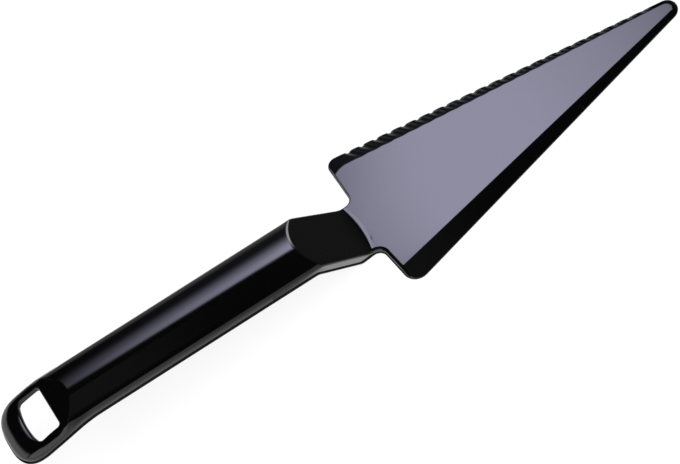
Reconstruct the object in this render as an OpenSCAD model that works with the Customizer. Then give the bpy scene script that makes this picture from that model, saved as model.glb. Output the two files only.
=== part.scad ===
/* [Blade] */
// Length of the blade from its shoulders to its tip
blade_len = 127.2; // [95:0.1:160]
// Width of the blade at the shoulders
blade_w = 60; // [46:0.1:76]
// Width of the plain bevel at the shoulders, seen from above
plain_bevel_w = 8; // [4.5:0.05:9]
// Width of the serrated bevel at the shoulders, seen from above
serrated_bevel_w = 5.4; // [4.5:0.05:9]
// Radius of the nose
nose_r = 4; // [2.8:0.1:6]
// Thickness of the blade where the neck joins it
blade_t = 1.8; // [1.5:0.05:2.6]
// Thickness of the blade at its nose
tip_t = 0.85; // [0.75:0.05:1.3]
// Thickness left at the outer edge of the bevels
edge_t = 0.5; // [0.3:0.05:0.65]
// Length of the tongue between the neck's bend and the shoulders
tongue_len = 4; // [3:0.1:7]
// Angle by which the shoulders sweep forwards
shoulder_sweep = 3; // [0:0.5:10]
// Radius of the blade's rear corners
corner_r = 4.3; // [1.5:0.1:5]
// Radius in the corners between tongue and shoulders
fillet_r = 2.4; // [1:0.1:2.6]

/* [Serration] */
// Distance from one flute to the next
flute_pitch = 5.12; // [4:0.01:8]
// Radius of each flute
flute_r = 3; // [2:0.1:5]
// Depth of the first flute at the outer edge
flute_d = 0.65; // [0.3:0.05:0.8]
// Depth of the last flute at the outer edge
last_flute_d = 0.45; // [0.2:0.05:0.7]
// Angle between a flute and a square cut across the blade
flute_slant = 36; // [0:1:45]
// Plain stretch between the shoulders and the first flute
flute_margin = 9.8; // [7:0.1:20]
// Plain stretch between the last flute and the nose
nose_margin = 2; // [1:0.5:8]

/* [Neck] */
// Width of the neck at its bend
neck_w = 21.5; // [17:0.1:25]
// Horizontal length of the neck's top
neck_run = 16.05; // [12:0.05:22]
// Angle by which the neck rises
neck_angle = 40.6; // [28:0.1:50]
// Thickness of the neck, square to its top
neck_t = 4.1; // [2.6:0.1:5]

/* [Grip] */
// Width of the grip
grip_w = 23.2; // [19:0.1:28]
// Length of the grip from the neck to the start of the loop
grip_len = 86; // [65:0.1:115]
// Angle by which the grip rises towards its end
grip_angle = 6.3; // [0:0.1:12]
// Height of the grip's side walls
side_h = 4; // [3:0.1:5]
// Height of the crown above the side walls
crown_h = 2.4; // [1.6:0.1:4]
// Width of the flat ledge on each side of the crown
ledge_w = 1.75; // [0.8:0.05:2.5]
// Wall of the hollow grip and rim of the loop
wall_t = 2; // [1.4:0.1:2.4]
// Number of ribs in the hollow
rib_count = 5; // [2:1:8]
// Thickness of each rib
rib_t = 1.4; // [1:0.1:2.5]
// Distance of the ribs from the grip's underside
rib_recess = 0.6; // [0.2:0.1:1.2]

/* [Hang loop] */
// Length of the loop past the grip
loop_len = 31.6; // [28:0.1:40]
// Width of the loop
loop_w = 25.3; // [22:0.1:30]
// Radius to which the loop's top bends down
loop_bend_r = 70; // [58:1:110]
// Length of the loop's rounded end
end_len = 12; // [8:0.1:13]
// Length of the straight sides before the rounded end
straight_len = 2.6; // [0.5:0.1:6]
// Thickness of the loop inside its rim
loop_t = 2.3; // [1.6:0.1:2.8]
// Wall between the hanging hole and the loop's end
end_wall = 8.6; // [6:0.1:10]
// Length of the slope from the crown down to the hole
slope_len = 7.1; // [5:0.1:10]
// Step left at the foot of the slope
slope_step = 0.3; // [0.2:0.05:0.6]
// Length of the hanging hole
hole_len = 10.2; // [6:0.1:11]
// Width of the hanging hole
hole_w = 16.8; // [10:0.1:17.4]
// Radius to which the hole's end bulges
hole_bulge_r = 18; // [10:0.1:30]
// Radius of the hole's corners
hole_corner_r = 1.2; // [0.5:0.1:1.8]

/* [Hidden] */
gloss_black = [0.055, 0.053, 0.062];
$fn = 128;
// Part of the hole's end that keeps its bulge between the rounded corners
bulge_share = 2 / 3;
// Power of the curve that rounds the loop's end, and steps in curves
end_power = 2.5;
curve_steps = 24;
arc_steps = 10;
// Overrun of cuts
over = 1;
// Half widths
neck_half = neck_w / 2;
grip_half = grip_w / 2;
loop_half = loop_w / 2;
hole_half = hole_w / 2;
outer_half = blade_w / 2;
crown_half = grip_half - ledge_w;

// Blade: the bend lies at x = 0, and the underside at z = 0
tip_x = tongue_len + blade_len;
face_fall_share = (tip_t - blade_t) / tip_x;
function face_z(x) = blade_t + face_fall_share * x;
// The nose circle, and the straight outer edges that touch it
nose_x = tip_x - nose_r;
nose_dx = nose_x - tongue_len;
edge_angle = acos(nose_r / norm([nose_dx, outer_half])) - atan2(nose_dx, outer_half);
touch_x = nose_x + nose_r * sin(edge_angle);
function outer_y(x) = outer_half - (x - tongue_len) * tan(edge_angle);
// Bevels: side is 1 for the serrated side and -1 for the plain side
function bevel_w(side) = side > 0 ? serrated_bevel_w : plain_bevel_w;
// Rise of a bevel across its width, and the line where it meets the face
function rise_share(side) = (face_z(tongue_len) - edge_t) / (bevel_w(side) * cos(edge_angle));
function face_y(x, side) = outer_y(x) - (face_z(x) - edge_t) / (rise_share(side) * cos(edge_angle));
// Rear corner, where the swept shoulder line meets the outer edge
sweep_share = tan(shoulder_sweep);
corner_y = (outer_half + neck_half * sweep_share * tan(edge_angle)) / (1 + sweep_share * tan(edge_angle));
corner_x = tongue_len + (corner_y - neck_half) * sweep_share;

// Neck and grip: the crease is where the neck's top meets the grip's side walls
crease_x = -neck_run;
crease_z = blade_t + neck_run * tan(neck_angle);
bend_angle = neck_angle - grip_angle;
// Bottom of the crease in the grip's frame
crease_dx = (side_h - neck_t / cos(bend_angle)) / tan(bend_angle);
// Height of the neck's underside at the bend, if it doesn't reach the table first
neck_drop = neck_t / cos(neck_angle);
heel_x = (blade_t - neck_drop) / tan(neck_angle);
function from_grip(p) = [
    crease_x + p.x * cos(grip_angle) + p.y * sin(grip_angle),
    crease_z - p.x * sin(grip_angle) + p.y * cos(grip_angle)
];
// Crown of the grip
crown_r = (pow(crown_half, 2) + pow(crown_h, 2)) / (2 * crown_h);
crown_z = crown_h - crown_r;
// Hollow of the grip
hollow_start = crown_h / tan(bend_angle) + wall_t;
hollow_len = grip_len - wall_t - hollow_start;
// Loop
loop_under_r = loop_bend_r - side_h;
function loop_top_z(u) = sqrt(pow(loop_bend_r, 2) - pow(u, 2)) - loop_bend_r;
// The grip widens into the loop over the flare, and the hole keeps its wall to the loop's end
flare_len = loop_len - end_len - straight_len;
hole_start = loop_len - end_wall - hole_len;
crown_run = hole_start - slope_len;
slope_angle = atan2(crown_h - slope_step - loop_top_z(hole_start), slope_len);
loop_end = from_grip([-grip_len - loop_len, sqrt(pow(loop_under_r, 2) - pow(loop_len, 2)) - loop_bend_r]);
// Middle of the whole length
mid_x = (tip_x + loop_end.x) / 2;
// Reach of cutting blocks and their height
reach = tip_x - loop_end.x;
tall = crease_z + reach * sin(grip_angle);

function unit(v) = v / norm(v);

// Arc that rounds the corner at p, between edges that run to a and to b
function rounded(a, p, b, r) =
    let (
        to_a = unit(a - p),
        to_b = unit(b - p),
        half = acos(to_a * to_b) / 2,
        middle = p + unit(to_a + to_b) * r / sin(half),
        first = p + to_a * r / tan(half) - middle,
        last = p + to_b * r / tan(half) - middle,
        start = atan2(first.y, first.x),
        turn = (atan2(last.y, last.x) - start + 540) % 360 - 180
    )
    [for (i = [0:arc_steps])
        let (a = start + turn * i / arc_steps)
        middle + r * [cos(a), sin(a)]];

// The other side of a symmetrical outline, without its points on the middle line
function mirrored(points) = [
    for (i = [len(points) - 1:-1:0])
        if (points[i].y > 0)
            [points[i].x, -points[i].y]
];

// Outline of one side of the blade, from the bend to the nose
function blade_side() =
    let (
        bend = [0, neck_half],
        inner = [tongue_len, neck_half],
        outer = [corner_x, corner_y],
        front = [touch_x, outer_y(touch_x)]
    )
    concat([bend], rounded(bend, inner, outer, fillet_r), rounded(inner, outer, front, corner_r), [front]);

// Everything on the side of the plane at p to which n points
module beyond(p, n) {
    translate(p)
        rotate([0, acos(n.z / norm(n)), atan2(n.y, n.x)])
            translate([-reach, -reach, 0])
                cube([2 * reach, 2 * reach, 2 * reach]);
}

module above_face() {
    beyond([0, 0, blade_t], [-face_fall_share, 0, 1]);
}

module above_bevel(side) {
    run = rise_share(side);
    beyond(
        [tongue_len, side * outer_half, edge_t],
        [run * sin(edge_angle), side * run * cos(edge_angle), 1]
    );
}

// Vertical strip outside the face's edge, on one side
module bevel_strip(side) {
    polygon([
        [0, side * face_y(0, side)],
        [touch_x, side * face_y(touch_x, side)],
        [touch_x, side * outer_half],
        [0, side * outer_half]
    ]);
}

module blade_outline() {
    polygon(concat(blade_side(), mirrored(blade_side())));
}

module blade() {
    color(gloss_black)
        difference() {
            linear_extrude(blade_t + over)
                difference() {
                    blade_outline();
                    bevel_strip(1);
                    bevel_strip(-1);
                }
            above_face();
        }
}

module bevel(side) {
    difference() {
        linear_extrude(blade_t + over)
            intersection() {
                blade_outline();
                bevel_strip(side);
            }
        above_bevel(side);
    }
}

module plain_edge() {
    color(gloss_black)
        bevel(-1);
}

// Cutter of one flute whose valley meets the outer edge at x
module flute(x) {
    lean = tan(flute_slant);
    rise = rise_share(1);
    face_slope = (face_y(tip_x, 1) - face_y(0, 1)) / tip_x;
    across = (outer_y(x) - face_y(x, 1)) / (1 + lean * face_slope);
    up = unit([rise * sin(edge_angle), rise * cos(edge_angle), 1]);
    depth = flute_d + (last_flute_d - flute_d) * (x - tongue_len) / nose_dx;
    valley = [x, outer_y(x), edge_t] - up * depth;
    top_x = x + across * lean;
    top = [top_x, outer_y(x) - across, face_z(top_x)];
    run = top - valley;
    translate(valley + up * flute_r - unit(run) * serrated_bevel_w)
        rotate([0, acos(run.z / norm(run)), atan2(run.y, run.x)])
            cylinder(h = norm(run) + 2 * serrated_bevel_w, r = flute_r, $fn = 96);
}

module serrated_edge() {
    first = tongue_len + flute_margin;
    last = nose_x - nose_margin;
    color(gloss_black)
        difference() {
            bevel(1);
            for (x = [first:flute_pitch:last])
                flute(x);
        }
}

module blade_tip() {
    color(gloss_black)
        intersection() {
            difference() {
                translate([nose_x, 0, 0]) {
                    cylinder(h = edge_t, r = nose_r);
                    translate([0, 0, edge_t])
                        cylinder(h = nose_r * rise_share(1), r1 = nose_r, r2 = 0);
                }
                above_face();
                above_bevel(-1);
            }
            translate([touch_x, -outer_half, -over])
                cube([2 * nose_r, 2 * outer_half, blade_t + 2 * over]);
        }
}

module neck() {
    under = from_grip([crease_dx, -side_h]);
    heel = heel_x < 0 ? [[0, 0], [heel_x, 0]] : [[0, blade_t - neck_drop]];
    color(gloss_black)
        intersection() {
            translate([0, grip_w, 0])
                rotate([90, 0, 0])
                    linear_extrude(2 * grip_w)
                        polygon(concat([[0, blade_t]], heel, [under], [[crease_x, crease_z]]));
            linear_extrude(2 * tall)
                polygon([
                    [0, neck_half],
                    [0, -neck_half],
                    [crease_x, -grip_half],
                    [crease_x - grip_w, -grip_half],
                    [crease_x - grip_w, grip_half],
                    [crease_x, grip_half]
                ]);
        }
}

// Frame of the grip: the crease at the origin, x towards the blade, z square to the grip
module in_grip_frame() {
    translate([crease_x, 0, crease_z])
        rotate([0, grip_angle, 0])
            children();
}

// Draws a cross-section along the grip, from x = -far to x = -near
module along_grip(near, far) {
    translate([-far, 0, 0])
        rotate([90, 0, 90])
            linear_extrude(far - near)
                children();
}

module crown_section() {
    intersection() {
        translate([0, crown_z])
            circle(r = crown_r, $fn = 256);
        translate([-crown_half, -side_h / 2])
            square([2 * crown_half, side_h / 2 + crown_h]);
    }
}

module grip_section() {
    crown_section();
    translate([-grip_half, -side_h])
        square([grip_w, side_h]);
}

// Section of the hollow, open below, from the height that is given
module hollow_section(low) {
    intersection() {
        translate([0, crown_z])
            circle(r = crown_r - wall_t, $fn = 256);
        translate([wall_t - grip_half, low])
            square([grip_w - 2 * wall_t, crown_h - low]);
    }
}

module grip() {
    color(gloss_black)
        in_grip_frame()
            difference() {
                along_grip(min(0, -crease_dx), grip_len)
                    grip_section();
                beyond([0, 0, 0], [sin(bend_angle), 0, cos(bend_angle)]);
                beyond([0, 0, 0], [side_h, 0, crease_dx]);
                along_grip(hollow_start, hollow_start + hollow_len)
                    hollow_section(-side_h - over);
            }
}

module grip_ribs() {
    gap = (hollow_len - rib_count * rib_t) / (rib_count + 1);
    color(gloss_black)
        in_grip_frame()
            for (i = [0:rib_count - 1]) {
                place = hollow_start + gap + i * (gap + rib_t);
                along_grip(place, place + rib_t)
                    hollow_section(rib_recess - side_h);
            }
}

// Outline of one side of the loop: a smooth flare, a straight and a rounded end.
// The inset moves it inwards, for the hollow.
function loop_side(inset) = concat(
    [for (i = [0:arc_steps])
        let (
            t = i / arc_steps,
            flare = (loop_half - grip_half) * t * t * (3 - 2 * t)
        )
        [-inset - (flare_len - inset) * t, grip_half - inset + flare]],
    [for (i = [0:curve_steps])
        let (
            t = sin(90 * i / curve_steps),
            w = pow(1 - pow(t, end_power), 1 / end_power)
        )
        [end_len - loop_len - (end_len - inset) * t, (loop_half - inset) * w]]
);

// Outline of the hole, from the slope's foot to the bulging end
function hole_points() =
    let (
        bulge = asin(hole_half / hole_bulge_r),
        side_x = hole_bulge_r * (1 - cos(bulge)) - hole_len,
        near_top = [0, hole_half],
        far_top = [side_x, hole_half],
        half_bulge = bulge * bulge_share
    )
    concat(
        rounded([0, 0], near_top, far_top, hole_corner_r),
        rounded(near_top, far_top, bulge_point(half_bulge), hole_corner_r),
        [for (i = [1:2 * arc_steps - 1]) bulge_point(half_bulge * (1 - i / arc_steps))],
        mirrored(concat(
            rounded([0, 0], near_top, far_top, hole_corner_r),
            rounded(near_top, far_top, bulge_point(half_bulge), hole_corner_r)
        ))
    );
function bulge_point(angle) = [
    hole_bulge_r * (1 - cos(angle)) - hole_len,
    hole_bulge_r * sin(angle)
];

module loop_slab() {
    intersection() {
        difference() {
            translate([0, loop_w, -loop_bend_r])
                rotate([90, 0, 0])
                    cylinder(h = 2 * loop_w, r = loop_bend_r, $fn = 512);
            translate([0, 2 * loop_w, -loop_bend_r])
                rotate([90, 0, 0])
                    cylinder(h = 4 * loop_w, r = loop_under_r, $fn = 512);
        }
        translate([0, 0, -loop_bend_r])
            linear_extrude(2 * loop_bend_r)
                loop_outline(0);
    }
}

module loop_outline(inset) {
    polygon(concat(loop_side(inset), mirrored(loop_side(inset))));
}

// Hollow under the loop, inside its rim
module loop_hollow() {
    intersection() {
        translate([0, loop_w, -loop_bend_r])
            rotate([90, 0, 0])
                cylinder(h = 2 * loop_w, r = loop_bend_r - loop_t, $fn = 512);
        translate([0, 0, -loop_bend_r])
            linear_extrude(2 * loop_bend_r)
                loop_outline(wall_t);
    }
}

module crown_slope() {
    difference() {
        along_grip(0, hole_start)
            crown_section();
        beyond([-crown_run, 0, crown_h], [-sin(slope_angle), 0, cos(slope_angle)]);
    }
}

module hang_loop() {
    color(gloss_black)
        in_grip_frame()
            translate([-grip_len, 0, 0])
                difference() {
                    union() {
                        loop_slab();
                        crown_slope();
                    }
                    loop_hollow();
                    translate([-hole_start, 0, -loop_bend_r])
                        linear_extrude(2 * loop_bend_r)
                            polygon(hole_points());
                }
}

translate([-mid_x, 0, 0]) {
    blade();
    plain_edge();
    serrated_edge();
    blade_tip();
    neck();
    grip();
    grip_ribs();
    hang_loop();
}
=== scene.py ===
import math

import bpy
import numpy as np
from mathutils import Matrix, Vector
from mathutils.geometry import delaunay_2d_cdt


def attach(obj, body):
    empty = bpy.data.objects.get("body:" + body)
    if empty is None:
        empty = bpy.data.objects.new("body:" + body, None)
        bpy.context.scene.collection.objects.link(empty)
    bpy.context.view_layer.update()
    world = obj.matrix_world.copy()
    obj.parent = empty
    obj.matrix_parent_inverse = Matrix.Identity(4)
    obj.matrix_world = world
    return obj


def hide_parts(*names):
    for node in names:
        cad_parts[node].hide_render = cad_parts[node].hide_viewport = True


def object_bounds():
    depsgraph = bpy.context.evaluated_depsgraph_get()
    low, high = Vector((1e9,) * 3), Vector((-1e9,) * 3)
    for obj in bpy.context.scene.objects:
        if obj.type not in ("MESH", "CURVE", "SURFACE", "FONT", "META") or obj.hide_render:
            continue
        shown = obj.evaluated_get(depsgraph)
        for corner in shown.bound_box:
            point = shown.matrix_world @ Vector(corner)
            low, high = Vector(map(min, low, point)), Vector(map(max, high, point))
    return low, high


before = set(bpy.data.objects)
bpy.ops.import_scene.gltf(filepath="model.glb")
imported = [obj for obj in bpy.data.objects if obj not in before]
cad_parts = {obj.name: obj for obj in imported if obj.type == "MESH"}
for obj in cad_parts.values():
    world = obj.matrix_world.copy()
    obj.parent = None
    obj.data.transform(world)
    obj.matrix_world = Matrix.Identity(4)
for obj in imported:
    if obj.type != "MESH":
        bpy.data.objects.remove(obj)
cad_lo, cad_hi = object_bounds()

MM = 0.001

# Sizes are in millimetres. They are the CAD's, apart from those that differ between near and far, the edges'
# roundings, the lip and the curve of the hole's end. The bend between blade and neck lies at x = 0 and the
# blade runs towards +x. Near and far are the sides at -y and +y, as the camera sees them.

# Blade: its length from the bend, its thickness at the bend, at the tip and along the edges, and the least
# thickness that a flute leaves at the edge
TIP_X = 131.2
MID_X = TIP_X - cad_hi.x / MM
BLADE_T = 1.8
TIP_T = 0.85
EDGE_T = 0.5
LEAST_EDGE_T = 0.22
# Place of the shoulders, half the blade's width there, radius of the nose and widths of the two bevels
TONGUE = 4.0
OUTER_HALF = 30.0
NOSE_R = 4.0
PLAIN_W = 8.0
SERRATED_W = 5.4
# Shoulders on the near and the far side: forward sweep, place, corner and fillet
SWEEP_NEAR = math.tan(math.radians(6))
SWEEP_FAR = math.tan(math.radians(0.5))
TONGUE_NEAR = 3.5
TONGUE_FAR = 4.6
CORNER_NEAR_R = 5.2
CORNER_FAR_R = 3.2
FILLET_NEAR_R = 3.3
FILLET_FAR_R = 2.4
# Flutes of the serrated bevel: pitch, middle of the first, depth of first and last, lean and free end
PITCH = 5.12
FLUTE_0 = 13.5
FLUTE_D = 0.65
FLUTE_D_LAST = 0.45
LEAN = math.tan(math.radians(32))
FLUTE_END_GAP = 2.0
# Shares of a pitch over which the row of flutes fades in before the first and out after the last
FADE_NEAR_SHARE = 0.4
FADE_FAR_SHARE = 0.75
# Share of a flute's depth across the bevel: it falls from the first share by 1 on the way to the face, and
# is never more than the second share at the outer edge plus the gain for each millimetre inwards
FLUTE_RUN_SHARE = 1.08
FLUTE_EDGE_SHARE = 0.68
FLUTE_GAIN = 0.32
# Power of a flute's section, which makes it narrower than the land beside it
FLUTE_POWER = 1.25
# Far bevel where it wraps round the face's rear corner
WRAP_R = 8.0
WRAP_X = 11.1
# Neck
NECK_HALF = 10.55
NECK_NEAR_HALF = 11.05
NECK_RUN = 16.05
NECK_T = 4.1
NECK_A = math.radians(40.6)
# Grip
GRIP_A = math.radians(6.3)
GRIP_HALF = 11.6
GRIP_LEN = 86.0
SIDE_H = 4.0
CROWN_H = 2.4
LEDGE = 1.75
WALL = 2.0
HOLLOW_R = 1.5
# Hanging loop, with its hole and the slope down to it
LOOP_LEN = 31.6
LOOP_HALF = 12.65
LOOP_R = 70.0
LOOP_T = 2.3
FLARE = 17.0
END_LEN = 12.0
END_NEAR_POWER = 2.5
END_FAR_POWER = 3.1
CROWN_RUN = 5.7
SLOPE_LEN = 7.1
SLOPE_STEP = 0.3
SLAB_DROP = 1.3
RIM_W = 2.0
HOLE_LEN = 10.2
HOLE_HALF = 8.4
# The CAD's hole bulges to a radius of 18 and has corners of HOLE_R all round
BULGE_R = 26.0
HOLE_R = 1.2
HOLE_END_R = 1.8
# Roundings: under edges, the lip along the foot of the walls, the bend at the blade and the crease
UNDER_R = 0.35
LIP_W = 0.45
LIP_H = 0.45
LIP_UNDER_R = 0.2
LIP_SLOPE = math.radians(14)
BEND_MID = 2.9
BEND_SIDE = 1.1
CREASE_BLEND = 0.6
FACE_BLEND = 0.05
CROWN_BLEND = 0.35
UNDER_BLEND = 0.5
# Ahead of FRONT_X the top is only blade and bend, and more than REAR_RUN behind the crease only grip and loop
FRONT_X = -6
REAR_RUN = 12
# Rows in the rounding of a top edge and of an under edge
TOP_STEPS = 7
UNDER_STEPS = 3

NOSE_X = TIP_X - NOSE_R
FALL = (TIP_T - BLADE_T) / TIP_X
EDGE_A = math.acos(NOSE_R / math.hypot(NOSE_X - TONGUE, OUTER_HALF)) - math.atan2(NOSE_X - TONGUE, OUTER_HALF)
TOUCH_X = NOSE_X + NOSE_R * math.sin(EDGE_A)
RISE_NEAR = (BLADE_T + FALL * TONGUE - EDGE_T) / (PLAIN_W * math.cos(EDGE_A))
RISE_FAR = RISE_NEAR * PLAIN_W / SERRATED_W
CREASE_X, CREASE_Z = -NECK_RUN, BLADE_T + NECK_RUN * math.tan(NECK_A)
CROWN_HALF = GRIP_HALF - LEDGE
CROWN_R = (CROWN_HALF**2 + CROWN_H**2) / (2 * CROWN_H)
GRIP_T = math.tan(GRIP_A)
REAR_X = CREASE_X - REAR_RUN


def from_grip(a, h):
    """A point of the grip's frame (a along the grip from the crease, h square to it) as x and z."""
    return (
        CREASE_X + a * math.cos(GRIP_A) + h * math.sin(GRIP_A),
        CREASE_Z - a * math.sin(GRIP_A) + h * math.cos(GRIP_A),
    )


def loop_top(u):
    return np.sqrt(LOOP_R**2 - np.square(u)) - LOOP_R


HOLE_START = CROWN_RUN + SLOPE_LEN
ARC_X, ARC_Z = from_grip(-GRIP_LEN, -LOOP_R)
HOLE_X = from_grip(-GRIP_LEN - HOLE_START, float(loop_top(HOLE_START)) - SIDE_H / 2)[0]


def smin(a, b, k):
    """Lower of two surfaces, blended where they lie less than k apart."""
    return np.minimum(a, b) - np.square(np.maximum(k - np.abs(a - b), 0)) / (4 * k)


def smax(a, b, k):
    return -smin(-a, -b, k)


def ease(x, a, b):
    t = np.clip((x - a) / (b - a), 0, 1)
    return t * t * (3 - 2 * t)


def outer_y(x):
    return OUTER_HALF - (x - TONGUE) * math.tan(EDGE_A)


def face_z(x):
    return BLADE_T + FALL * x


def face_y(x, far=True):
    """Distance of the face's edge from the middle line."""
    return outer_y(x) - (face_z(x) - EDGE_T) / ((RISE_FAR if far else RISE_NEAR) * math.cos(EDGE_A))


def flutes(x, y):
    """Depth of the serration below the bevel on the far side."""
    inside = np.clip(outer_y(x) - y, 0, None)
    start = x - LEAN * inside
    phase = (start - FLUTE_0) / PITCH
    last = math.floor((NOSE_X - FLUTE_END_GAP - FLUTE_0) / PITCH)
    fade_in = ease(start, FLUTE_0 - PITCH * FADE_FAR_SHARE, FLUTE_0 - PITCH * FADE_NEAR_SHARE)
    end_near = FLUTE_0 + PITCH * (last + FADE_NEAR_SHARE)
    end_far = FLUTE_0 + PITCH * (last + FADE_FAR_SHARE)
    on = fade_in * (1 - ease(start, end_near, end_far))
    along = np.clip((start - TONGUE) / (NOSE_X - TONGUE), 0, 1)
    depth = FLUTE_D + (FLUTE_D_LAST - FLUTE_D) * along
    width = (face_z(x) - EDGE_T) / RISE_FAR
    towards_face = FLUTE_RUN_SHARE - inside / np.maximum(width, 0.5)
    from_edge = FLUTE_EDGE_SHARE + FLUTE_GAIN * inside
    across = np.clip(np.minimum(towards_face, from_edge), 0, 1)
    wave = np.power(0.5 + 0.5 * np.cos(2 * math.pi * phase), FLUTE_POWER)
    return np.where(y > 0, on * depth * across * wave, 0)


WRAP_C = (WRAP_X - WRAP_R * math.sin(EDGE_A), face_y(WRAP_X) - WRAP_R * math.cos(EDGE_A))


def top_base(x, y):
    """Height of the top before its outer edges are rounded."""
    x, y = np.asarray(x, float), np.asarray(y, float)
    ay = np.abs(y)
    face = face_z(x)
    inside = (outer_y(x) - ay) * math.cos(EDGE_A)
    nose = NOSE_R - np.hypot(x - NOSE_X, y)
    on_nose = (x - NOSE_X) * math.cos(EDGE_A) > ay * math.sin(EDGE_A)
    plain = EDGE_T + RISE_NEAR * (outer_y(x) + y) * math.cos(EDGE_A)
    serrated = EDGE_T + RISE_FAR * np.where(on_nose, nose, inside)
    bevel = np.where(on_nose, np.minimum(plain, serrated), np.where(y > 0, serrated, plain))
    behind_wrap = (x - WRAP_C[0]) * math.cos(EDGE_A) < (ay - WRAP_C[1]) * math.sin(EDGE_A)
    in_wrap = (y > 0) & behind_wrap & (ay > WRAP_C[1])
    wrap = face - RISE_FAR * (np.hypot(x - WRAP_C[0], y - WRAP_C[1]) - WRAP_R)
    bevel = np.where(in_wrap, wrap, bevel)
    bevel = bevel - flutes(x, y)
    blade = smin(face, bevel, FACE_BLEND)
    neck = BLADE_T - x * math.tan(NECK_A)
    bend = BEND_MID + (BEND_SIDE - BEND_MID) * np.clip(np.square(y / NECK_HALF), 0, 1)
    front = smax(blade, neck, bend)
    arc = np.sqrt(np.maximum(CROWN_R**2 - y * y, 0)) - CROWN_R
    crown = CREASE_Z + (CREASE_X - x) * GRIP_T + (CROWN_H + arc) / math.cos(GRIP_A)
    u = (CREASE_X - x) / math.cos(GRIP_A) - GRIP_LEN
    foot_u, foot_h = HOLE_START, float(loop_top(HOLE_START)) + SLOPE_STEP
    p, q = from_grip(-GRIP_LEN - CROWN_RUN, CROWN_H), from_grip(-GRIP_LEN - foot_u, foot_h)
    slope = p[1] + (x - p[0]) * (q[1] - p[1]) / (q[0] - p[0])
    crown = smin(crown, slope, CROWN_BLEND)
    slab = ARC_Z + np.sqrt(np.maximum(LOOP_R**2 - np.square(x - ARC_X), 0))
    slab = np.where(x > ARC_X + LOOP_R * math.sin(GRIP_A), CREASE_Z + (CREASE_X - x) * GRIP_T, slab)
    slab = slab - SLAB_DROP * (1 - ease(u, -2, 11))
    rear = smax(crown, slab, CROWN_BLEND)
    return np.where(x > FRONT_X, front, np.where(x < REAR_X, rear, smin(neck, rear, CREASE_BLEND)))


def normals(x, y, h=0.02):
    dx = (top_base(x + h, y) - top_base(x - h, y)) / (2 * h)
    dy = (top_base(x, y + h) - top_base(x, y - h)) / (2 * h)
    n = np.stack([-dx, -dy, np.ones_like(dx)], 1)
    return n / np.linalg.norm(n, axis=1, keepdims=True)


def under_base(x, y):
    """Height of the underside's rim."""
    x, y = np.asarray(x, float), np.asarray(y, float)
    neck = BLADE_T - x * math.tan(NECK_A) - NECK_T / math.cos(NECK_A)
    straight = CREASE_Z + (CREASE_X - x) * GRIP_T - SIDE_H / math.cos(GRIP_A)
    arc = ARC_Z + np.sqrt(np.maximum((LOOP_R - SIDE_H) ** 2 - np.square(x - ARC_X), 0))
    grip = np.where(x > ARC_X + (LOOP_R - SIDE_H) * math.sin(GRIP_A), straight, arc)
    u = (CREASE_X - x) / math.cos(GRIP_A) - GRIP_LEN
    side = GRIP_HALF + (LOOP_HALF - GRIP_HALF) * ease(u, 0, FLARE)
    end = np.clip((u - LOOP_LEN + END_LEN) / END_LEN, 0, 1)
    inset = side * np.power(np.maximum(1 - np.power(end, END_NEAR_POWER), 0), 1 / END_NEAR_POWER) - np.abs(y)
    inset = np.minimum(inset, LOOP_LEN - u)
    grip = grip + (SIDE_H - LOOP_T) * ease(inset, RIM_W - 0.2, RIM_W + 0.6) * ease(u, RIM_W, RIM_W + 0.8)
    low = smin(neck, grip, UNDER_BLEND)
    low = smax(low, np.zeros_like(x), UNDER_BLEND)
    return np.where(x > 2, 0, np.where(x < REAR_X, grip, low))


def arc_points(a, p, b, r, step=0.3):
    """Arc that rounds the corner at p between edges that run to a and to b."""
    a, p, b = map(np.array, (a, p, b))
    ua, ub = (a - p) / np.linalg.norm(a - p), (b - p) / np.linalg.norm(b - p)
    half = math.acos(float(ua @ ub)) / 2
    mid = (ua + ub) / np.linalg.norm(ua + ub)
    c = p + mid * r / math.sin(half)
    first, last = p + ua * r / math.tan(half) - c, p + ub * r / math.tan(half) - c
    start = math.atan2(first[1], first[0])
    turn = (math.atan2(last[1], last[0]) - start + 3 * math.pi) % (2 * math.pi) - math.pi
    n = max(4, int(abs(turn) * r / step))
    angles = [start + turn * i / n for i in range(n + 1)]
    return [c + r * np.array([math.cos(a), math.sin(a)]) for a in angles]


def dense(points, step):
    """Points along a polyline, a step apart, with its own points kept."""
    out = [np.array(points[0], float)]
    for p in points[1:]:
        p = np.array(p, float)
        n = max(1, int(round(np.linalg.norm(p - out[-1]) / step)))
        q = out[-1]
        out += [q + (p - q) * (i + 1) / n for i in range(n)]
    return out


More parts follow.
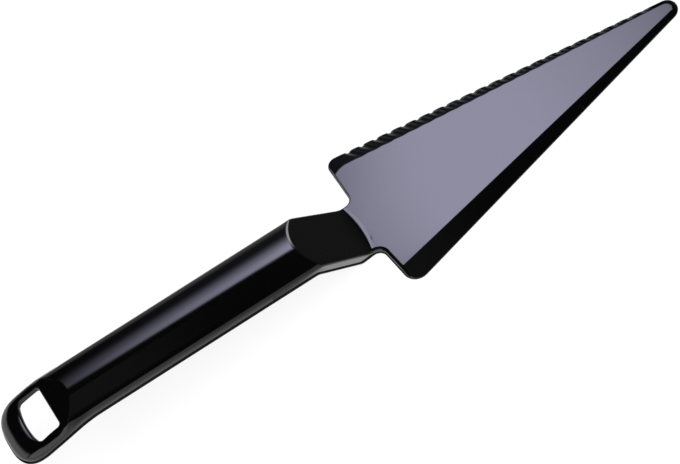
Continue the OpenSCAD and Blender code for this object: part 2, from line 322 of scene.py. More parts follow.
def side_outline(far):
    """Outline of one side from the loop's end to the nose, as points with y > 0."""
    pts = []
    side_x = from_grip(-GRIP_LEN - LOOP_LEN + END_LEN, float(loop_top(LOOP_LEN - END_LEN)) - SIDE_H / 2)[0]
    end_x = from_grip(-GRIP_LEN - LOOP_LEN, float(loop_top(LOOP_LEN)) - SIDE_H / 2)[0]
    power = END_FAR_POWER if far else END_NEAR_POWER
    end_steps, flare_steps, nose_steps = 44, 24, 18
    for i in range(end_steps + 1):
        t = math.cos(math.pi / 2 * i / end_steps)
        w = (1 - t**power) ** (1 / power)
        pts.append((side_x + (end_x - side_x) * t, LOOP_HALF * w))
    flare_x = from_grip(-GRIP_LEN - FLARE, float(loop_top(FLARE)) - SIDE_H / 2)[0]
    start_x = from_grip(-GRIP_LEN, -SIDE_H / 2)[0]
    for i in range(flare_steps + 1):
        t = i / flare_steps
        narrowing = t * t * (3 - 2 * t)
        pts.append((flare_x + (start_x - flare_x) * t, LOOP_HALF + (GRIP_HALF - LOOP_HALF) * narrowing))
    neck = NECK_HALF if far else NECK_NEAR_HALF
    taper = arc_points(pts[-1], (CREASE_X, GRIP_HALF), (0, neck), 30, 0.8)
    pts += dense([pts[-1]] + taper + [(0, neck)], 0.9)[1:]
    sweep, tongue = (SWEEP_FAR, TONGUE_FAR) if far else (SWEEP_NEAR, TONGUE_NEAR)
    slant = math.tan(EDGE_A)
    reach = (OUTER_HALF - (tongue - TONGUE - neck * sweep) * slant) / (1 + sweep * slant)
    corner = (tongue + (reach - neck) * sweep, reach)
    inner = (tongue, neck)
    front = (TOUCH_X, outer_y(TOUCH_X))
    fillet = FILLET_FAR_R if far else FILLET_NEAR_R
    pts += dense([pts[-1]] + arc_points((0, neck), inner, corner, fillet), 0.4)[1:]
    cut = arc_points(inner, corner, front, CORNER_FAR_R if far else CORNER_NEAR_R)
    pts += dense([pts[-1]] + cut[:1], 0.4)[1:]
    pts += cut[1:]
    edge = dense([pts[-1], front], 0.32)[1:]
    if far:
        inwards = np.array([math.sin(EDGE_A), math.cos(EDGE_A)])
        depths = [max(0, float(flutes(e[0], e[1] - 1e-6)) - EDGE_T + LEAST_EDGE_T) for e in edge]
        edge = [e - inwards * depth / RISE_FAR for e, depth in zip(edge, depths)]
    pts += edge
    for i in range(1, nose_steps + 1):
        a = (math.pi / 2 - EDGE_A) * (1 - i / nose_steps)
        pts.append((NOSE_X + NOSE_R * math.cos(a), NOSE_R * math.sin(a)))
    return np.array([np.array(p, float) for p in pts])


far_side, near_side = side_outline(True), side_outline(False)
near_side = near_side * [1, -1]
# Counter-clockwise seen from above: near side towards the nose, far side back
outline = np.concatenate([near_side[:-1], far_side[::-1][:-1]])


def outward(loop):
    t = np.roll(loop, -1, 0) - np.roll(loop, 1, 0)
    n = np.stack([t[:, 1], -t[:, 0]], 1)
    return n / np.linalg.norm(n, axis=1, keepdims=True)


def off_edge(x, y):
    """0 at the blade's long edges, 1 from some way inside them."""
    return ease(outer_y(x) - y, 0.8, 6)


def edge_radius(p):
    """Rounding of the top edge along the outline, for each section of the moulding."""
    x, y = p[:, 0], np.abs(p[:, 1])
    near = p[:, 1] < 0
    neck_near_r, neck_far_r, grip_r, loop_near_r, loop_far_r, loop_end_r = 1.5, 0.7, 1.1, 3.3, 2.5, 4.2
    blade_r, shoulder_near_r, shoulder_far_r = 0.35, 1.5, 0.65
    r = np.where(near, neck_near_r, neck_far_r)
    behind = ease(-x, NECK_RUN - 3, NECK_RUN + 3)
    r = r + (grip_r - r) * behind
    u = (CREASE_X - x) / math.cos(GRIP_A) - GRIP_LEN
    loop_r = np.where(near, loop_near_r, loop_far_r)
    r = r + (loop_r - r) * ease(u, np.where(near, 4, 0), np.where(near, 18, 14))
    r = r + (loop_end_r - r) * ease(u, 24, 31)
    shoulder = blade_r + np.where(near, shoulder_near_r - blade_r, shoulder_far_r - blade_r) * off_edge(x, y)
    return r + (shoulder - r) * ease(x, 1, TONGUE + 0.8)


def edge_depth(p):
    """Height of the rounding for its width: the near edge of the neck falls off flatly, then turns down."""
    x = p[:, 0]
    neck = ease(-x, -1, 2) * (1 - ease(-x, NECK_RUN - 2, NECK_RUN + 3))
    return 1 - 0.12 * np.where(p[:, 1] < 0, neck, 0)


def edge_power(p):
    """2 for an elliptic rounding; less on the near shoulder, whose edge is nearly a chamfer."""
    x, y = p[:, 0], np.abs(p[:, 1])
    return 2 - 0.4 * np.where(p[:, 1] < 0, off_edge(x, y), 0) * ease(x, 1, TONGUE + 0.8)


def lip_share(p):
    """1 where the lip runs along the foot of the wall, and nearly 0 on the blade's thin edges."""
    x, y = p[:, 0], np.abs(p[:, 1])
    wide = 1 - 0.15 * ease(x, -1, 1)
    return np.where(x > 0, wide * np.maximum(off_edge(x, y), 0.02), wide)


def bulge_point(a):
    """Point of the hole's bulging end at an angle from its middle."""
    return (BULGE_R * (1 - math.cos(a)) - HOLE_LEN, BULGE_R * math.sin(a))


def hole_outline():
    bulge = math.asin(HOLE_HALF / BULGE_R)
    side = BULGE_R * (1 - math.cos(bulge)) - HOLE_LEN
    part = bulge * 2 / 3
    up = arc_points((0, 0), (0, HOLE_HALF), (side, HOLE_HALF), HOLE_R, 0.2)
    far = arc_points((0, HOLE_HALF), (side, HOLE_HALF), bulge_point(part), HOLE_END_R, 0.2)
    bulge_steps = 12
    half = dense([(0, 0)] + up[:1], 0.5) + up[1:]
    half += dense([up[-1]] + far[:1], 0.5)[1:] + far[1:]
    half += [bulge_point(part * (1 - i / bulge_steps)) for i in range(1, bulge_steps + 1)]
    half = np.array([np.array(p, float) for p in half])
    other = half[::-1][1:-1] * [1, -1]
    loop = np.concatenate([half, other]) + [HOLE_X, 0]
    area = np.sum(loop[:, 0] * np.roll(loop[:, 1], -1) - np.roll(loop[:, 0], -1) * loop[:, 1])
    return loop if area > 0 else loop[::-1]


hole = hole_outline()


def inside_of(loop, p):
    """Which of the points p lie inside the closed loop."""
    hit = np.zeros(len(p), bool)
    a, b = loop, np.roll(loop, -1, 0)
    for i in range(len(a)):
        cross = (a[i, 1] > p[:, 1]) != (b[i, 1] > p[:, 1])
        if cross.any():
            x = a[i, 0] + (p[:, 1] - a[i, 1]) * (b[i, 0] - a[i, 0]) / (b[i, 1] - a[i, 1] + 1e-15)
            hit ^= cross & (p[:, 0] < x)
    return hit


def rim(loop, radius, base, sign, steps, inward, share=0.62, power=2.0, depth=1.0):
    """Rows that round an edge over, from the wall (first) to the surface (last).

    sign is 1 above and -1 below. The rounding is as high as it is wide times depth, but takes no more than
    the given share of the wall."""
    n = outward(loop) * inward
    power = np.broadcast_to(power, len(loop))
    wall = top_base(loop[:, 0], loop[:, 1]) - under_base(loop[:, 0], loop[:, 1])
    high = np.minimum(radius * depth, share * wall)
    rows, heights, dirs = [], [], []
    for k in range(steps + 1):
        a = math.pi / 2 * k / steps
        out, rise = max(math.cos(a), 0) ** (2 / power), math.sin(a) ** (2 / power)
        p = loop - n * (radius * (1 - out))[:, None]
        z = base(p[:, 0], p[:, 1]) - sign * high * (1 - rise)
        if sign > 0:
            up = normals(p[:, 0], p[:, 1])
        else:
            up = np.tile([0.0, 0.0, -1.0], (len(p), 1))
        side = np.concatenate([n, np.zeros((len(p), 1))], 1)
        d = up * (radius * rise ** (power - 1))[:, None] + side * (high * out ** (power - 1))[:, None]
        rows.append(p)
        heights.append(z)
        dirs.append(d / np.linalg.norm(d, axis=1, keepdims=True))
    return rows, heights, dirs


class Surface:
    """Collects points, their normals and faces of the whole moulding."""

    def __init__(self):
        self.co, self.no, self.faces = [], [], []

    def add(self, xy, z, n):
        start = len(self.co)
        for p, h, d in zip(xy, z, n):
            self.co.append((float(p[0]), float(p[1]), float(h)))
            self.no.append((float(d[0]), float(d[1]), float(d[2])))
        return list(range(start, len(self.co)))

    def add_rows(self, rows):
        """The point numbers of each of the rows that rim() gives."""
        return [self.add(*row) for row in zip(*rows)]

    def band(self, lower, upper):
        for i in range(len(lower)):
            j = (i + 1) % len(lower)
            self.faces.append((lower[i], lower[j], upper[j], upper[i]))

    def bands(self, rings):
        for a, b in zip(rings[:-1], rings[1:]):
            self.band(a, b)

    def fill(self, outer, holes, extra_xy, extra_z, extra_n, flip=False):
        """Triangles between the closed rings of point numbers, with more points inside.

        Where rings cross, the faces at the crossing are left out and the skin has a gap there, so the
        number of crossings is printed."""
        xy = [self.co[i][:2] for i in outer]
        ids = list(outer)
        edges = [(i, (i + 1) % len(outer)) for i in range(len(outer))]
        for ring in holes:
            s = len(ids)
            ids += list(ring)
            xy += [self.co[i][:2] for i in ring]
            edges += [(s + i, s + (i + 1) % len(ring)) for i in range(len(ring))]
        ids += self.add(extra_xy, extra_z, extra_n)
        xy += [tuple(map(float, p)) for p in extra_xy]
        v, _, f, origin, _, _ = delaunay_2d_cdt([Vector(p) for p in xy], edges, [], 0, 1e-7, True)
        if len(v) > len(xy):
            print("crossings in fill:", len(v) - len(xy))
        where = {i: ids[o[0]] if o else None for i, o in enumerate(origin)}
        tri = [[where[i] for i in t] for t in f]
        tri = [t for t in tri if None not in t]
        c = np.array([np.mean([self.co[i][:2] for i in t], 0) for t in tri])
        keep = inside_of(np.array([self.co[i][:2] for i in outer]), c)
        for ring in holes:
            keep &= ~inside_of(np.array([self.co[i][:2] for i in ring]), c)
        for t, k in zip(tri, keep):
            if k:
                self.faces.append(tuple(t[::-1] if flip else t))


def grid(x0, x1, dx, y0, y1, dy):
    """Points from x0 to x1, dx apart, and from y0 to y1, dy apart."""
    gx = np.arange(x0, x1 + 1e-9, dx)
    gy = np.arange(y0, y1 + 1e-9, dy)
    across, along = np.meshgrid(gx, gy)
    return np.stack([across.ravel(), along.ravel()], 1)


def hole_radius(p):
    """The hole's edge is softer at the loop's end than towards the grip."""
    grip_r, corner_more, middle_more = 0.35, 0.5, 2.8
    bulge = middle_more * (1 - ease(np.abs(p[:, 1]), 2.5, 7))
    return grip_r + (corner_more + bulge) * ease(HOLE_X - p[:, 0], 3, 9)


def reverse(ring):
    """The ring's points in the other direction, from the same first point."""
    return [ring[0]] + ring[:0:-1]


def clear_of(points, ring, gap):
    """Which points lie at least gap away from the ring's points."""
    ok = np.ones(len(points), bool)
    chunk = 4000
    for i in range(0, len(points), chunk):
        d = np.linalg.norm(points[i : i + chunk, None] - ring[None], axis=2).min(1)
        ok[i : i + chunk] = d > gap
    return ok


surface = Surface()

# Top edges: the outline's, set in by the lip's width, and the hole's
lip = lip_share(outline)
lip_n = outward(outline)
wall = outline - lip_n * (LIP_W * lip)[:, None]
top_shape = {"power": edge_power(outline), "depth": edge_depth(outline)}
edge_rows = rim(wall, edge_radius(outline), top_base, 1, TOP_STEPS, 1, **top_shape)
edge_rings = surface.add_rows(edge_rows)
surface.bands(edge_rings)
hole_rows = rim(hole, hole_radius(hole), top_base, 1, TOP_STEPS, -1, 0.8)
hole_rings = surface.add_rows(hole_rows)
surface.bands([reverse(ring) for ring in hole_rings])
inner_edge, inner_hole = edge_rows[0][-1], hole_rows[0][-1]


def top_points():
    """Points inside the top: fine where it bends, coarse where it is flat."""
    clouds = [
        grid(-133, -98, 0.55, -13, 13, 0.5),
        grid(-98, -28, 2.0, -11, 11, 0.45),
        grid(-28, -12, 0.3, -11, 11, 0.35),
        grid(-12, 4.5, 0.4, -11, 11, 0.8),
    ]
    for side in (1, -1):
        xs = np.arange(5.5, TOUCH_X - 0.5, 0.34 if side > 0 else 0.8)
        for off in (-0.9, -0.55, -0.3, -0.12, 0, 0.12, 0.3, 0.55, 0.9):
            clouds.append(np.stack([xs, side * (face_y(xs, side > 0) + off)], 1))
    bevel = grid(5, 131, 0.34, 0, 30, 0.42)
    in_wrap = (bevel[:, 0] < 12) & (bevel[:, 1] > 15)
    clouds.append(bevel[(bevel[:, 1] > face_y(bevel[:, 0]) + 0.95) | in_wrap])
    clouds.append(grid(7.5, 128, 4.0, -20, 20, 4.0))
    clouds.append(grid(NOSE_X - 3, TIP_X, 0.35, -4, 4, 0.35))
    cloud = np.concatenate(clouds)
    cloud = cloud[inside_of(inner_edge, cloud) & ~inside_of(inner_hole, cloud)]
    cloud = cloud[clear_of(cloud, inner_edge, 0.16) & clear_of(cloud, inner_hole, 0.16)]
    cloud = cloud[np.lexsort((cloud[:, 1], cloud[:, 0]))]
    apart = np.unique(np.round(cloud / 0.1).astype(int), axis=0, return_index=True)[1]
    return cloud[np.sort(apart)]


cloud = top_points()
top_z = top_base(cloud[:, 0], cloud[:, 1])
surface.fill(edge_rings[-1], [hole_rings[-1]], cloud, top_z, normals(cloud[:, 0], cloud[:, 1]))

# Lip along the foot of the walls: its own low wall, its top, which falls outwards, and the corner at the wall
foot_rows = rim(outline, np.full(len(outline), LIP_UNDER_R), under_base, -1, UNDER_STEPS, 1, 0.3)
foot_rings = surface.add_rows(foot_rows)
corner_w = 0.06 * lip
lip_foot = foot_rows[1][0] + np.maximum(LIP_H - LIP_UNDER_R, 0) * lip
lip_rise = LIP_W * lip * math.tan(LIP_SLOPE)
lip_side = np.concatenate([lip_n, np.zeros((len(outline), 1))], 1)
lip_up = lip_side * math.sin(LIP_SLOPE) + [0, 0, math.cos(LIP_SLOPE)]
lip_rows = [
    (outline, lip_foot + 0.005, lip_side),
    (outline - lip_n * corner_w[:, None], lip_foot + corner_w + 0.01, lip_up),
    (wall + lip_n * corner_w[:, None], lip_foot + lip_rise + 0.015, lip_up),
    (wall, lip_foot + lip_rise + corner_w + 0.02, lip_side),
]
lip_rings = [surface.add(*row) for row in lip_rows]
surface.band(foot_rings[0], lip_rings[0])
surface.bands(lip_rings)
surface.band(lip_rings[-1], edge_rings[0])
surface.bands(foot_rings[::-1])

# Under edge and wall of the hole
under_hole_rows = rim(hole, np.full(len(hole), UNDER_R), under_base, -1, UNDER_STEPS, -1)
under_hole_rings = surface.add_rows(under_hole_rows)
surface.band(reverse(under_hole_rings[0]), reverse(hole_rings[0]))
surface.bands([reverse(ring) for ring in under_hole_rings[::-1]])

# Hollow of the grip: its mouth, walls and ceiling
HOLLOW_FRONT = CREASE_X - (CROWN_H / math.tan(NECK_A - GRIP_A) + WALL) * math.cos(GRIP_A)
HOLLOW_REAR = CREASE_X - (GRIP_LEN - WALL) * math.cos(GRIP_A)
HOLLOW_HALF = GRIP_HALF - WALL


def hollow_loop():
    """Outline of the hollow's mouth."""
    corners = [
        (HOLLOW_REAR, -HOLLOW_HALF),
        (HOLLOW_FRONT, -HOLLOW_HALF),
        (HOLLOW_FRONT, HOLLOW_HALF),
        (HOLLOW_REAR, HOLLOW_HALF),
    ]
    pts = []
    for i, corner in enumerate(corners):
        arc = arc_points(corners[i - 1], corner, corners[(i + 1) % 4], HOLLOW_R, 0.35)
        if pts:
            pts += dense([pts[-1], arc[0]], 1.2)[1:-1]
        pts += arc
    pts += dense([pts[-1], pts[0]], 1.2)[1:-1]
    return np.array(pts)


def ceiling(x, y):
    arc = np.sqrt((CROWN_R - WALL) ** 2 - y * y) - CROWN_R
    return CREASE_Z + (CREASE_X - x) * GRIP_T + (CROWN_H + arc) / math.cos(GRIP_A)


def ceiling_normals(x, y):
    across = -y / np.sqrt((CROWN_R - WALL) ** 2 - y**2)
    n = np.stack([np.full(len(x), -GRIP_T), across, -np.ones(len(x))], 1)
    return n / np.linalg.norm(n, axis=1, keepdims=True)


def downwards(points):
    return np.tile([0.0, 0.0, -1.0], (len(points), 1))


mouth = hollow_loop()
mouth_rows = rim(mouth, np.full(len(mouth), UNDER_R), under_base, -1, UNDER_STEPS, -1)
mouth_rings = surface.add_rows(mouth_rows)
surface.bands([reverse(ring) for ring in mouth_rings[::-1]])
wall_top = mouth - outward(mouth) * 0.25
wall_top_n = -np.concatenate([outward(wall_top), np.zeros((len(wall_top), 1))], 1)
wall_ring = surface.add(wall_top, ceiling(wall_top[:, 0], wall_top[:, 1]) - 0.4, wall_top_n)
surface.band(reverse(mouth_rings[0]), reverse(wall_ring))
roof = mouth - outward(mouth) * 0.7
roof_ring = surface.add(roof, ceiling(roof[:, 0], roof[:, 1]), downwards(roof))
surface.band(reverse(wall_ring), reverse(roof_ring))
inner = grid(HOLLOW_REAR + 2, HOLLOW_FRONT - 2, 2.0, -8, 8, 0.8)
inner = inner[inside_of(roof, inner)]
inner = inner[clear_of(inner, roof, 0.3)]
inner_z = ceiling(inner[:, 0], inner[:, 1])
surface.fill(roof_ring, [], inner, inner_z, ceiling_normals(inner[:, 0], inner[:, 1]), flip=True)


def under_points():
    """Points inside the underside: fine under the loop and at the bend, coarse under the flat blade."""
    low = np.concatenate(
        [
            grid(-134, -100, 0.5, -12.5, 12.5, 0.5),
            grid(-22, 3, 0.5, -10.5, 10.5, 3.0),
            grid(6, 126, 8, -20, 20, 8),
        ]
    )
    edge, hole_edge, mouth_edge = foot_rows[0][-1], under_hole_rows[0][-1], mouth_rows[0][-1]
    low = low[inside_of(edge, low) & ~inside_of(hole_edge, low) & ~inside_of(mouth_edge, low)]
    return low[clear_of(low, edge, 0.3) & clear_of(low, hole_edge, 0.3) & clear_of(low, mouth_edge, 0.3)]


low = under_points()
holes = [under_hole_rings[-1], mouth_rings[-1]]
surface.fill(foot_rings[-1], holes, low, under_base(low[:, 0], low[:, 1]), downwards(low), flip=True)


def section_of(c):
    """The node that a face belongs to, by its middle."""
    x, y, z = c
    if x > TOUCH_X:
        return "blade_tip"
    if x > 0:
        if abs(y) > face_y(x, y > 0):
            return "serrated_edge" if y > 0 else "plain_edge"
        return "blade"
    if x > CREASE_X - 0.4 * (CREASE_Z - z):
        return "neck"
    if x > from_grip(-GRIP_LEN, 0)[0]:
        return "grip"
    return "hang_loop"


co = np.array(surface.co)
no = np.array(surface.no)
groups = {}
for f in surface.faces:
    groups.setdefault(section_of(co[list(f)].mean(0)), []).append(f)


def make_piece(name, faces, node):
    used = sorted({i for f in faces for i in f})
    index = {v: i for i, v in enumerate(used)}
    mesh = bpy.data.meshes.new(name)
    verts = [((co[v][0] - MID_X) * MM, co[v][1] * MM, co[v][2] * MM) for v in used]
    mesh.from_pydata(verts, [], [[index[v] for v in f] for f in faces])
    mesh.polygons.foreach_set("use_smooth", [True] * len(mesh.polygons))
    mesh.normals_split_custom_set_from_vertices([tuple(no[v]) for v in used])
    obj = bpy.data.objects.new(name, mesh)
    bpy.context.scene.collection.objects.link(obj)
    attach(obj, "root")
    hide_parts(node)
    return obj


# The dressed piece's name for each node
names = {
    "blade": "blade_face",
    "plain_edge": "plain_bevel",
    "serrated_edge": "serrated_bevel",
    "blade_tip": "blade_nose",
    "neck": "neck_ramp",
    "grip": "grip_shell",
    "hang_loop": "hanging_loop",
}
pieces = [make_piece(names[n], f, n) for n, f in groups.items()]


def srgb(code):
    """An sRGB hex colour as linear RGBA."""
    c = [int(code[i : i + 2], 16) / 255 for i in (1, 3, 5)]
    return [v / 12.92 if v <= 0.04045 else ((v + 0.055) / 1.055) ** 2.4 for v in c] + [1.0]


def add_node(tree, kind, *sources, **values):
    """Adds a shader node. Sources fill its inputs in order, and values its inputs or properties by name.

    A socket is linked, and anything else is set."""
    new = tree.nodes.new(kind)
    for name, value in values.items():
        if name not in new.inputs:
            setattr(new, name, value)
        elif isinstance(value, bpy.types.NodeSocket):
            tree.links.new(value, new.inputs[name])
        else:
            new.inputs[name].default_value = value
    for place, source in enumerate(sources):
        if isinstance(source, bpy.types.NodeSocket):
            tree.links.new(source, new.inputs[place])
        else:
            new.inputs[place].default_value = source
    return new


def gloss_black():
    """Injection-moulded black polystyrene, polished: a deep black that mirrors the lights clearly.

    Its black and its haze vary a little and its surface swells slightly, as the mould leaves it."""
    flow_mm, swell_mm, haze_mm = 1000 / 9, 1000 / 45, 1000 / 260
    material = bpy.data.materials.new("gloss_black_polystyrene")
    material.use_nodes = True
    tree = material.node_tree
    surface_shader = tree.nodes["Principled BSDF"]
    surface_shader.inputs["IOR"].default_value = 1.55
    place = add_node(tree, "ShaderNodeTexCoord").outputs["Object"]
    flow = add_node(tree, "ShaderNodeTexNoise", Vector=place, Scale=1 / (flow_mm * MM), Detail=3.0)
    shades = {"A": srgb("#040404"), "B": srgb("#060606"), "Factor": flow.outputs["Fac"]}
    shade = add_node(tree, "ShaderNodeMix", data_type="RGBA", **shades)
    tree.links.new(shade.outputs["Result"], surface_shader.inputs["Base Color"])
    haze = add_node(tree, "ShaderNodeTexNoise", Vector=place, Scale=1 / (haze_mm * MM), Detail=2.0)
    rough = add_node(tree, "ShaderNodeMapRange", haze.outputs["Fac"], 0, 1, 0.06, 0.09)
    tree.links.new(rough.outputs["Result"], surface_shader.inputs["Roughness"])
    swell = add_node(tree, "ShaderNodeTexNoise", Vector=place, Scale=1 / (swell_mm * MM), Detail=1.0)
    bump = add_node(tree, "ShaderNodeBump", Height=swell.outputs["Fac"], Strength=0.06, Distance=0.0002)
    tree.links.new(bump.outputs["Normal"], surface_shader.inputs["Normal"])
    return material


black = gloss_black()
for piece in pieces:
    piece.data.materials.append(black)
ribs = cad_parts["grip_ribs"]
ribs.data.materials.clear()
ribs.data.materials.append(black)


# The studio, in metres: a white table, glowing panels and walls that only gloss sees, and a soft lamp above
def stage_mesh(name, verts, faces, material):
    mesh = bpy.data.meshes.new(name)
    mesh.from_pydata(verts, [], faces)
    mesh.materials.append(material)
    obj = bpy.data.objects.new(name, mesh)
    bpy.context.scene.collection.objects.link(obj)
    return obj


def only_reflected(obj):
    """The object is seen in gloss alone: it lights no floor and casts no shadow."""
    obj.visible_camera = False
    obj.visible_diffuse = False
    obj.visible_shadow = False
    obj.visible_transmission = False


def empty_material(name):
    material = bpy.data.materials.new(name)
    material.use_nodes = True
    material.node_tree.nodes.clear()
    return material, material.node_tree


def show(tree, shader):
    """Makes the shader node the material's surface."""
    tree.links.new(shader.outputs[0], add_node(tree, "ShaderNodeOutputMaterial").inputs[0])


def seen_ray(tree):
    """1 for camera, glossy and transmission rays."""
    path = add_node(tree, "ShaderNodeLightPath").outputs
    seen = path["Is Camera Ray"]
    for ray in ("Is Glossy Ray", "Is Transmission Ray"):
        seen = add_node(tree, "ShaderNodeMath", seen, path[ray], operation="MAXIMUM").outputs[0]
    return seen


def axes(tree, direction=False):
    """The object's own x, y and z at the surface, or those of the direction to it."""
    place = add_node(tree, "ShaderNodeTexCoord").outputs["Object"]
    if direction:
        place = add_node(tree, "ShaderNodeVectorMath", place, operation="NORMALIZE").outputs[0]
    return add_node(tree, "ShaderNodeSeparateXYZ", place).outputs


def fade(tree, source, stops, start=0.0, end=1.0):
    """Light that follows stops of (share of the way, level) as source runs from start to end."""
    share = add_node(tree, "ShaderNodeMapRange", source, start, end)
    ramp = add_node(tree, "ShaderNodeValToRGB", share.outputs["Result"])
    marks = ramp.color_ramp.elements
    while len(marks) < len(stops):
        marks.new(0.5)
    for mark, (at, level) in zip(marks, stops):
        mark.position = at
        mark.color = (level, level, level, 1)
    return ramp.outputs["Color"]


def lit(tree, strength, *fades):
    """Strength of a light, dimmed by each of the fades."""
    level = fades[0]
    for other in fades[1:] + (strength,):
        level = add_node(tree, "ShaderNodeMath", level, other, operation="MULTIPLY").outputs[0]
    return level


def white_table():
    """Matt white board that glows white where the camera sees it and keeps a share of its shadow.

    Gloss sees nearly only the board as the lamp lights it."""
    seen_share, glossy_share = 0.85, 0.04
    material, tree = empty_material("white_table")
    matt = add_node(tree, "ShaderNodeBsdfDiffuse", Color=srgb("#f9f9f9"))
    glow = add_node(tree, "ShaderNodeEmission", Strength=1.06)
    glossy = add_node(tree, "ShaderNodeLightPath").outputs["Is Glossy Ray"]
    share = add_node(tree, "ShaderNodeMapRange", glossy, 0, 1, seen_share, glossy_share)
    share = add_node(tree, "ShaderNodeMath", seen_ray(tree), share.outputs["Result"], operation="MULTIPLY")
    show(tree, add_node(tree, "ShaderNodeMixShader", share.outputs[0], matt.outputs[0], glow.outputs[0]))
    return material


TABLE = 4
table_corners = [(-TABLE, -TABLE, 0), (TABLE, -TABLE, 0), (TABLE, TABLE, 0), (-TABLE, TABLE, 0)]
stage_mesh("floor", table_corners, [(0, 1, 2, 3)], white_table())

# Soft boxes behind the server, square to a line that rises at 45 degrees. The near one lights the grip
# and fades downwards and towards the loop; the far one, seen through its clear right end, lights the blade.
BOX_DIR = Vector((0, math.sqrt(0.5), math.sqrt(0.5)))
BOX_UP = Vector((0, -math.sqrt(0.5), math.sqrt(0.5)))
BOX_COLOUR = "#e2e0ff"
BOX_STRENGTH = 7.4
DOWN_STOPS = [(0, 0.02), (0.18, 0.085), (0.31, 0.21), (0.57, 0.58), (0.82, 0.95), (1, 1)]
TOP_STOPS = [(0, 1), (0.3, 0.85), (0.6, 0.3), (1, 0)]


def soft_box(name, at, x, y, across, down, top, lean, clear):
    """Glowing panel at a distance, over the spans x and y.

    Its light fades across it, down it and along its leaning top, each over a (start, end) span, and it
    turns clear over the last span."""
    material, tree = empty_material(name)
    place = axes(tree)
    slant = add_node(tree, "ShaderNodeMath", place[0], -lean, place[1], operation="MULTIPLY_ADD")
    level = lit(
        tree,
        BOX_STRENGTH,
        fade(tree, place[0], across[1], *across[0]),
        fade(tree, place[1], DOWN_STOPS, *down),
        fade(tree, slant.outputs[0], TOP_STOPS, *top),
    )
    light = add_node(tree, "ShaderNodeEmission", Color=srgb(BOX_COLOUR), Strength=level)
    clearing = fade(tree, place[0], [(0, 0), (1, 1)], *clear)
    through = add_node(tree, "ShaderNodeBsdfTransparent")
    show(tree, add_node(tree, "ShaderNodeMixShader", clearing, light.outputs[0], through.outputs[0]))
    corners = [(x[0], y[0], 0), (x[1], y[0], 0), (x[1], y[1], 0), (x[0], y[1], 0)]
    panel = stage_mesh(name, corners, [(0, 1, 2, 3)], material)
    turn = Matrix((Vector((1, 0, 0)), BOX_UP, -BOX_DIR)).transposed()
    panel.matrix_world = Matrix.Translation(BOX_DIR * at) @ turn.to_4x4()
    only_reflected(panel)


soft_box(
    "soft_box",
    at=0.2,
    x=(-0.14, 0.05),
    y=(-0.10, 0.12),
    across=((-0.11, 0.04), [(0, 0), (0.453, 0.447), (0.733, 0.67), (0.853, 0.78), (0.93, 0.9), (1, 1)]),
    down=(-0.045, 0.068),
    top=(0.068, 0.092),
    lean=0.125,
    clear=(0.0, 0.045),
)
soft_box(
    "far_soft_box",
    at=0.86,
    x=(-0.10, 0.32),
    y=(-0.43, 0.50),
    across=((0.14, 0.285), [(0, 1), (0.4, 0.85), (0.75, 0.6), (1, 0)]),
    down=(-0.1935, 0.2193),
    top=(0.2924, 0.3956),
    lean=0.0,
    clear=(1.0, 2.0),
)


def glowing(name, colour, level):
    """Material that only gives light, at the level that the function level makes in its tree."""
    material, tree = empty_material(name)
    show(tree, add_node(tree, "ShaderNodeEmission", Color=srgb(colour), Strength=level(tree)))
    return material


def wall_level(tree):
    """Light from the studio's walls: in front, low at the left and behind, faint at the right and above."""
    across, depth, height = axes(tree, direction=True)
    front = lit(
        tree,
        1.4,
        fade(tree, depth, [(0, 1), (0.40, 1), (0.44, 0), (1, 0)], -1, 1),
        fade(tree, height, [(0, 1), (0.72, 1), (0.80, 0), (1, 0)]),
        fade(tree, across, [(0, 1), (0.40, 0.9), (0.53, 0.4), (0.7, 0.35), (0.8, 0.02), (1, 0.02)], -1, 1),
    )
    left = lit(
        tree,
        1.1,
        fade(tree, depth, [(0, 0), (0.44, 0), (0.48, 1), (1, 1)], -1, 1),
        fade(tree, height, [(0, 1), (0.30, 1), (0.42, 0.3), (0.5, 0)]),
        fade(tree, across, [(0, 1), (0.26, 1), (0.34, 0), (1, 0)], -1, 1),
    )
    behind = lit(
        tree,
        0.6,
        fade(tree, depth, [(0, 0), (0.83, 0), (0.90, 0.4), (0.975, 1), (1, 1)], -1, 1),
        fade(tree, height, [(0, 1), (0.10, 0.8), (0.17, 0.5), (0.24, 0.3), (0.6, 0.3), (0.7, 0)]),
    )
    right = lit(
        tree,
        0.085,
        fade(tree, across, [(0, 0), (0.66, 0), (0.78, 0.8), (0.90, 1), (1, 1)], -1, 1),
        fade(tree, height, [(0, 1), (0.30, 1), (0.75, 0.8), (0.88, 0), (1, 0)]),
    )
    above = lit(
        tree,
        0.08,
        fade(tree, height, [(0, 0), (0.93, 0), (0.96, 1), (1, 1)]),
        fade(tree, across, [(0, 1), (0.53, 1), (0.56, 0), (1, 0)], -1, 1),
    )
    total = 0.01
    for part in (front, left, behind, right, above):
        total = add_node(tree, "ShaderNodeMath", part, total, operation="ADD").outputs[0]
    return total


def studio_walls():
    """Half dome round the server."""
    radius, rows, turns = 2.2, 12, 48
    lift = 0.001
    verts = []
    for i in range(rows):
        rise = math.pi / 2 * i / rows
        for j in range(turns):
            turn = 2 * math.pi * j / turns
            flat = radius * math.cos(rise)
            verts.append((flat * math.cos(turn), flat * math.sin(turn), radius * math.sin(rise) + lift))
    verts.append((0, 0, radius))
    faces = []
    for i in range(rows):
        for j in range(turns):
            a, b = i * turns + j, i * turns + (j + 1) % turns
            faces.append((a, b, b + turns, a + turns) if i < rows - 1 else (a, b, rows * turns))
    only_reflected(stage_mesh("studio_walls", verts, faces, glowing("studio_walls", "#ffffff", wall_level)))


studio_walls()

# White card on the table in front of the neck, which the neck's side mirrors
CARD_X = (-0.034, 0.010)
CARD_Y = (-0.036, -0.0112)
CARD_Z = 0.0003
CARD_STOPS = [(0, 0.2), (0.227, 0.3), (0.34, 0.52), (0.489, 1), (0.8, 1), (0.9, 0.3), (1, 0.15)]


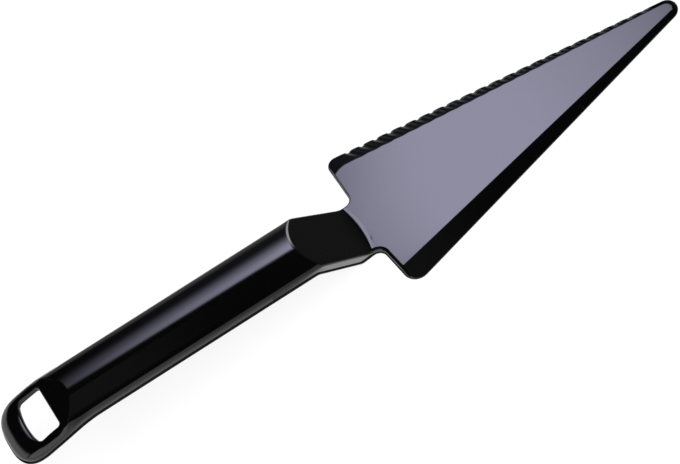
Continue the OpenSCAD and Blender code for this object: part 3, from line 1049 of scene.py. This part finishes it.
def card_level(tree):
    place = axes(tree)
    along = fade(tree, place[0], CARD_STOPS, *CARD_X)
    return lit(tree, 2.6, along, fade(tree, place[1], [(0, 0.2), (0.4, 1), (1, 1)], *CARD_Y))


card = [(CARD_X[0], CARD_Y[0]), (CARD_X[1], CARD_Y[0]), (CARD_X[1], CARD_Y[1]), (CARD_X[0], CARD_Y[1])]
card = [(x, y, CARD_Z) for x, y in card]
only_reflected(stage_mesh("white_card", card, [(0, 1, 2, 3)], glowing("white_card", "#ffffff", card_level)))

# Narrow white card over the neck, which glints in the rounded end of the grip's crown
GLINT = [
    (-0.0065, 0.0130, 0.0430),
    (0.0055, 0.0130, 0.0348),
    (-0.0022, 0.0345, 0.0155),
    (-0.0100, 0.0365, 0.0225),
]


def glint_level(tree):
    return lit(tree, 5.5, fade(tree, axes(tree)[1], [(0, 0), (0.25, 1), (0.6, 0.8), (1, 0.1)], 0.012, 0.038))


only_reflected(stage_mesh("glint_card", GLINT, [(0, 1, 2, 3)], glowing("glint_card", "#f3f3ff", glint_level)))


def studio_world():
    """World: white where it is seen, and a little soft light for the floor."""
    light_level, seen_level = 0.3, 1.0
    world = bpy.data.worlds.new("studio")
    bpy.context.scene.world = world
    world.use_nodes = True
    tree = world.node_tree
    sky = tree.nodes["Background"]
    sky.inputs["Color"].default_value = srgb("#ffffff")
    amount = add_node(tree, "ShaderNodeMapRange", seen_ray(tree), 0, 1, light_level, seen_level)
    tree.links.new(amount.outputs["Result"], sky.inputs["Strength"])


def overhead_lamp():
    """Lamp above, for the floor and its soft shadow."""
    width, height, watts = 2.4, 1.9, 36
    lamp = bpy.data.lights.new("overhead", "AREA")
    lamp.shape = "RECTANGLE"
    lamp.size = width
    lamp.size_y = width
    lamp.energy = watts
    obj = bpy.data.objects.new("overhead", lamp)
    obj.location = (0, 0, height)
    obj.visible_glossy = False
    obj.visible_camera = False
    bpy.context.scene.collection.objects.link(obj)


# Camera at the photo's angle: its own right, up and backward directions, its place in millimetres, and the
# lens as a length in the photo's pixels
CAM_RIGHT = Vector((0.81247446, -0.49768341, -0.30363873))
CAM_UP = Vector((0.58293695, 0.70097058, 0.41088289))
CAM_BACK = Vector((0.00835222, -0.51083409, 0.85963875))
CAM_AT = Vector((5.5565133, -504.82941764, 856.42403543))
LENS_PIXELS = 2976.6
PHOTO_WIDTH = 680
SENSOR = 36


def photo_camera():
    data = bpy.data.cameras.new("camera")
    data.sensor_width = SENSOR
    data.lens = SENSOR * LENS_PIXELS / PHOTO_WIDTH
    data.clip_start = 0.05
    data.clip_end = 20
    camera = bpy.data.objects.new("camera", data)
    turn = Matrix((CAM_RIGHT, CAM_UP, CAM_BACK)).transposed()
    camera.matrix_world = Matrix.Translation(CAM_AT * MM) @ turn.to_4x4()
    bpy.context.scene.collection.objects.link(camera)
    bpy.context.scene.camera = camera


studio_world()
overhead_lamp()
photo_camera()
bpy.context.scene.view_settings.view_transform = "Standard"
